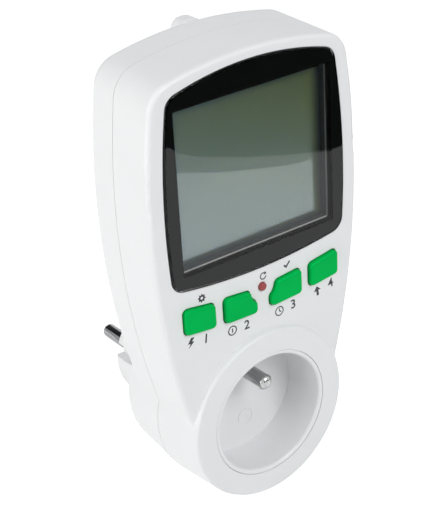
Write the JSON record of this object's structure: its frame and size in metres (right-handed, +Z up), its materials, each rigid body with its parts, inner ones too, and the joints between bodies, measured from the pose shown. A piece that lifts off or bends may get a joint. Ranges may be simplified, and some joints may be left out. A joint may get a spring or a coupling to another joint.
{
  "type": "plug-in energy meter",
  "caption": "Plug-in energy meter: tapered housing with a display and keys above an earthed socket in front, and an earthed round-pin plug behind.",
  "frame": {"origin": "centre of the socket's front rim, on the axis that the socket and the plug share", "axes": "+X to the right seen from the front, +Y back towards the wall, +Z up"},
  "size_m": [0.075, 0.0775, 0.1489],
  "materials": {
    "housing": "smooth white moulding",
    "inner_plastic": "plain moulding",
    "lens": "clear, polished",
    "lens_border": "black printed border",
    "display_frame": "matt black",
    "display_glass": "liquid crystal glass",
    "display_film": "polarising film",
    "display_reflector": "grey reflecting film",
    "foam": "closed-cell foam",
    "elastomer": "striped silicone",
    "key": "green, satin",
    "reset": "red",
    "silicone": "translucent silicone",
    "carbon": "carbon-loaded silicone",
    "board": "green glass-fibre laminate",
    "chip": "black epoxy",
    "can": "drawn can",
    "film_capacitor": "yellow case",
    "varistor": "blue epoxy",
    "resistor": "painted ceramic",
    "shunt": "manganin strip",
    "cable": "grey flat cable",
    "contact_metal": "stamped brass",
    "pin_metal": "nickel plated, polished",
    "earth_metal": "nickel plated strip",
    "spring_steel": "spring wire",
    "screw_steel": "zinc plated"
  },
  "bodies": {
    "root": {"backup_battery": "can", "contact_carrier": "inner_plastic", "contact_strip": "elastomer", "crystal": "can", "display_board": "board", "display_board_screws": "screw_steel", "display_frame": "display_frame", "display_glass": "display_glass", "display_lens": "lens", "display_polariser": "display_film", "display_reflector": "display_reflector", "dome_inner_left": "silicone", "dome_inner_right": "silicone", "dome_outer_left": "silicone", "dome_outer_right": "silicone", "dome_reset": "silicone", "driver_chip": "chip", "earth_bracket": "earth_metal", "earth_sleeve": "earth_metal", "electrolytic_capacitor": "can", "film_capacitor": "film_capacitor", "foam_pad": "foam", "front_shell": "housing", "fuse_resistor": "resistor", "housing_screws": "screw_steel", "keypad_mat": "silicone", "lens_border": "lens_border", "metering_chip": "chip", "pin_strap_left": "contact_metal", "pin_strap_right": "contact_metal", "pivot_screw": "screw_steel", "plug_body": "housing", "plug_pin_left": "pin_metal", "plug_pin_right": "pin_metal", "power_board": "board", "power_board_screws": "screw_steel", "rear_shell": "housing", "ribbon_cable": "cable", "shunt": "shunt", "shutter_spring": "spring_steel", "socket_contact_left": "contact_metal", "socket_contact_right": "contact_metal", "socket_earth_pin": "pin_metal", "socket_insert": "housing", "varistor": "varistor"},
    "key_outer_left": {"key_outer_left": "key", "pill_outer_left": "carbon"},
    "key_inner_left": {"key_inner_left": "key", "pill_inner_left": "carbon"},
    "key_inner_right": {"key_inner_right": "key", "pill_inner_right": "carbon"},
    "key_outer_right": {"key_outer_right": "key", "pill_outer_right": "carbon"},
    "reset_button": {"reset_button": "reset", "pill_reset": "carbon"},
    "shutter": {"shutter": "inner_plastic"}
  },
  "joints": [
    {"name": "key_outer_left_press", "type": "slide", "parent": "root", "child": "key_outer_left", "axis": [0, 1, 0], "range_m": [0, 0.001], "stiffness_N_per_m": 600, "deforming": ["dome_outer_left"]},
    {"name": "key_inner_left_press", "type": "slide", "parent": "root", "child": "key_inner_left", "axis": [0, 1, 0], "range_m": [0, 0.001], "stiffness_N_per_m": 600, "deforming": ["dome_inner_left"]},
    {"name": "key_inner_right_press", "type": "slide", "parent": "root", "child": "key_inner_right", "axis": [0, 1, 0], "range_m": [0, 0.001], "stiffness_N_per_m": 600, "deforming": ["dome_inner_right"]},
    {"name": "key_outer_right_press", "type": "slide", "parent": "root", "child": "key_outer_right", "axis": [0, 1, 0], "range_m": [0, 0.001], "stiffness_N_per_m": 600, "deforming": ["dome_outer_right"]},
    {"name": "reset_button_press", "type": "slide", "parent": "root", "child": "reset_button", "axis": [0, 1, 0], "range_m": [0, 0.0008], "stiffness_N_per_m": 400, "deforming": ["dome_reset"]},
    {"name": "shutter_turn", "type": "hinge", "parent": "root", "child": "shutter", "pos_m": [0, 0.0186, 0], "axis": [0, 1, 0], "range_deg": [0, 42], "stiffness_Nm_per_rad": 0.004, "deforming": ["shutter_spring"]}
  ]
}
